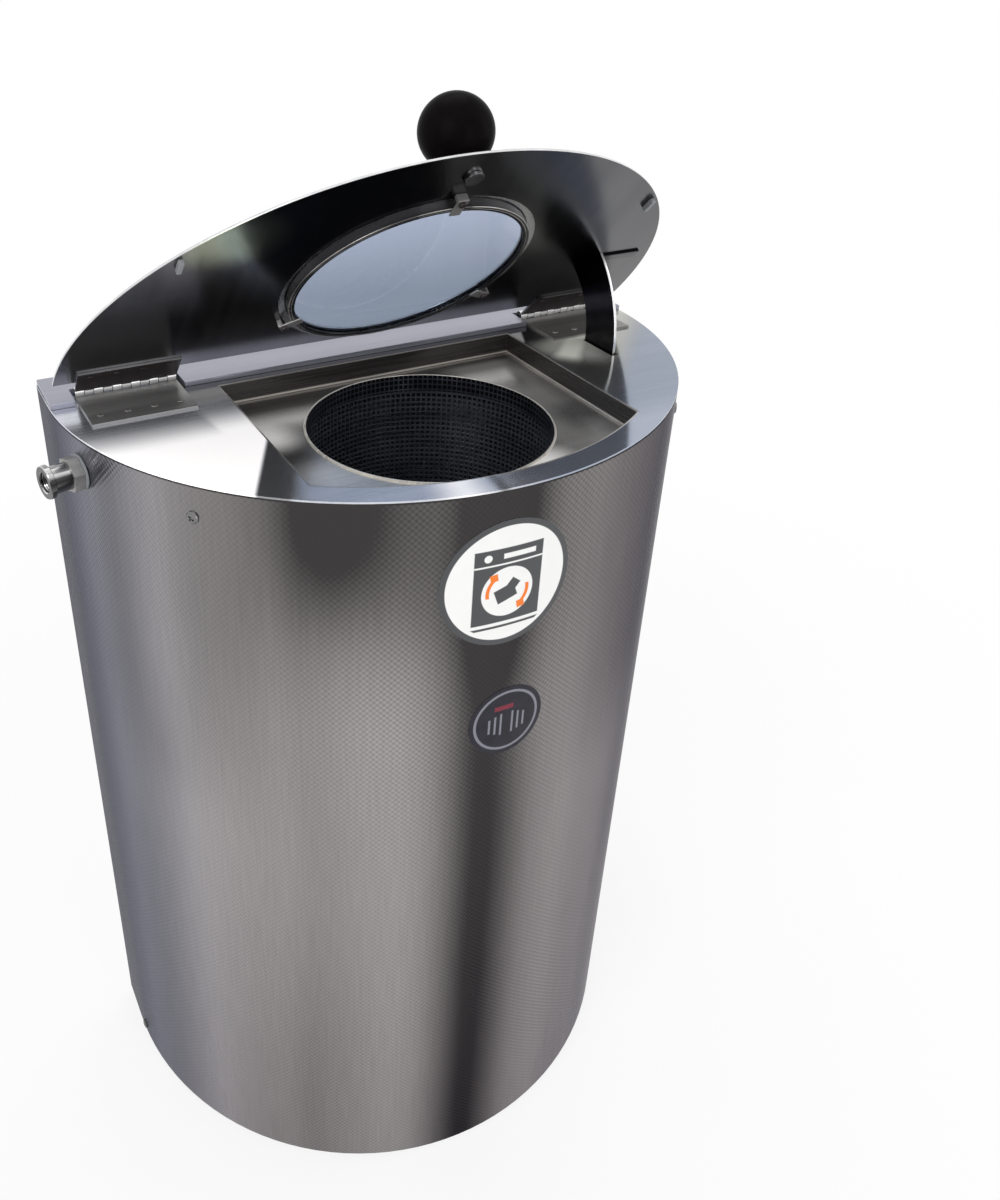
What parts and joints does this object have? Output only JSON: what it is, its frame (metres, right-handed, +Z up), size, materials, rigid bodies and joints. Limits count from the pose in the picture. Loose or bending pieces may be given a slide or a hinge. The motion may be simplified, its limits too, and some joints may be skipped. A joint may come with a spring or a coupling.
{
  "type": "changing room spin dryer",
  "caption": "Half-round stainless floor-standing spin dryer for wet swimwear, with a spinning perforated basket under a hinged D-shaped lid with a round window.",
  "frame": {"origin": "on the floor under the feet, on the upright axis of the half-round front", "axes": "+Z up; -Y the half-round front; +Y the flat back that stands to the wall; +X to the right seen from the front"},
  "size_m": [0.5865, 0.324, 1.0213],
  "materials": {
    "skin_steel": "satin stainless sheet with a fine embossed grain",
    "back_steel": "plain brushed stainless sheet",
    "deck_steel": "bright brushed stainless, nearly mirror",
    "strip_steel": "bright brushed stainless",
    "hinge_steel": "brushed stainless",
    "pin_steel": "bright steel",
    "lid_steel": "polished stainless, dark where it mirrors the room",
    "sector_steel": "satin stainless",
    "window_pane": "pale blue translucent pane",
    "seal_rubber": "black rubber",
    "foot_rubber": "black rubber",
    "bellows_rubber": "dark grey rubber",
    "knob_plastic": "glossy black",
    "union_chrome": "polished",
    "basket_steel": "perforated stainless",
    "tub_steel": "plain stainless",
    "guide_plastic": "black nylon",
    "coil_paint": "black paint",
    "bolt_steel": "ground steel",
    "shaft_steel": "ground steel",
    "hub_aluminium": "cast",
    "housing_iron": "painted casting",
    "frame_paint": "grey paint",
    "motor_aluminium": "cast",
    "rotor_iron": "bare laminations",
    "box_plastic": "light grey"
  },
  "bodies": {
    "casing": {"body_skin": "skin_steel", "back_panel": "back_steel", "base_plate": "back_steel", "top_deck": "deck_steel", "drip_tray": "deck_steel", "rear_strip": "strip_steel", "hinge_deck_leaf_left": "hinge_steel", "hinge_deck_leaf_right": "hinge_steel", "deck_rivets": "hinge_steel", "hinge_pin_left": "pin_steel", "hinge_pin_right": "pin_steel", "skin_screws": "pin_steel", "foot_bolts": "pin_steel", "lock_bracket": "sector_steel", "union_gasket": "seal_rubber", "shaft_seal": "seal_rubber", "rubber_feet": "foot_rubber", "rubber_mounts": "foot_rubber", "tub_bellows": "bellows_rubber", "drain_hose": "bellows_rubber", "side_union": "union_chrome", "union_hex_nut": "union_chrome", "union_locknut": "union_chrome", "outer_tub": "tub_steel", "slot_guide": "guide_plastic", "drain_outlet": "guide_plastic", "lock_solenoid": "coil_paint", "upper_bearing": "shaft_steel", "lower_bearing": "shaft_steel", "hose_clamps": "shaft_steel", "bearing_housing": "housing_iron", "drive_plate": "frame_paint", "frame_shelf": "frame_paint", "frame_posts": "frame_paint", "motor_standoffs": "frame_paint", "motor_top_cap": "motor_aluminium", "motor_stator": "motor_aluminium", "motor_bottom_cap": "motor_aluminium", "control_box": "box_plastic", "control_cover": "box_plastic", "motor_capacitor": "box_plastic"},
    "lid": {"lid_panel": "lid_steel", "window_pane": "window_pane", "window_seal": "seal_rubber", "window_clips": "lid_steel", "clip_screws": "pin_steel", "ball_knob": "knob_plastic", "knob_screw": "pin_steel", "sector_plate": "sector_steel", "hinge_lid_leaf_left": "hinge_steel", "hinge_lid_leaf_right": "hinge_steel", "lid_rivets": "hinge_steel", "lid_bumpers": "seal_rubber"},
    "basket": {"spin_basket": "basket_steel", "basket_hub": "hub_aluminium", "hub_nut": "pin_steel", "drive_shaft": "shaft_steel", "motor_rotor": "rotor_iron"},
    "lock_bolt": {"lock_bolt": "bolt_steel"}
  },
  "joints": [
    {"name": "lid_hinge", "type": "hinge", "parent": "casing", "child": "lid", "pos_m": [0, 0.005, 0.782], "axis": [-1, 0, 0], "range_deg": [-45.4, 34.6]},
    {"name": "basket_spin", "type": "hinge", "parent": "casing", "child": "basket", "pos_m": [0, -0.13, 0.6], "axis": [0, 0, 1], "continuous": true},
    {"name": "lock_bolt_slide", "type": "slide", "parent": "casing", "child": "lock_bolt", "axis": [1, 0, 0], "range_m": [0, 0.012], "stiffness_N_per_m": 250}
  ]
}
